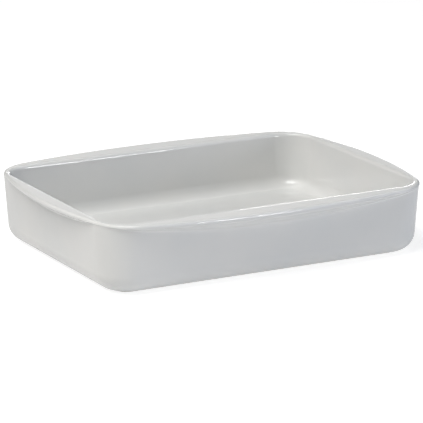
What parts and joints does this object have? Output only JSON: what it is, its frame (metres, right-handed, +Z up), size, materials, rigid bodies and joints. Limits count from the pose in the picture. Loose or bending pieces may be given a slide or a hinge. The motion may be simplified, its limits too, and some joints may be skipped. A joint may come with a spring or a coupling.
{
  "type": "baking dish",
  "caption": "Rectangular glazed porcelain oven dish with a deep straight-sided cavity, a level rim that bows out on all four sides to lift it by, and a bare foot ring",
  "frame": {"origin": "on the table, under the middle of the dish", "axes": "+X along the length, +Y along the width, +Z up out of the cavity"},
  "size_m": [0.358, 0.286, 0.068],
  "materials": {
    "porcelain": "unglazed, fired and wiped, matt",
    "glaze": "clear gloss over white porcelain"
  },
  "bodies": {
    "root": {"porcelain_body": "porcelain", "glaze_coat": "glaze"}
  },
  "joints": []
}
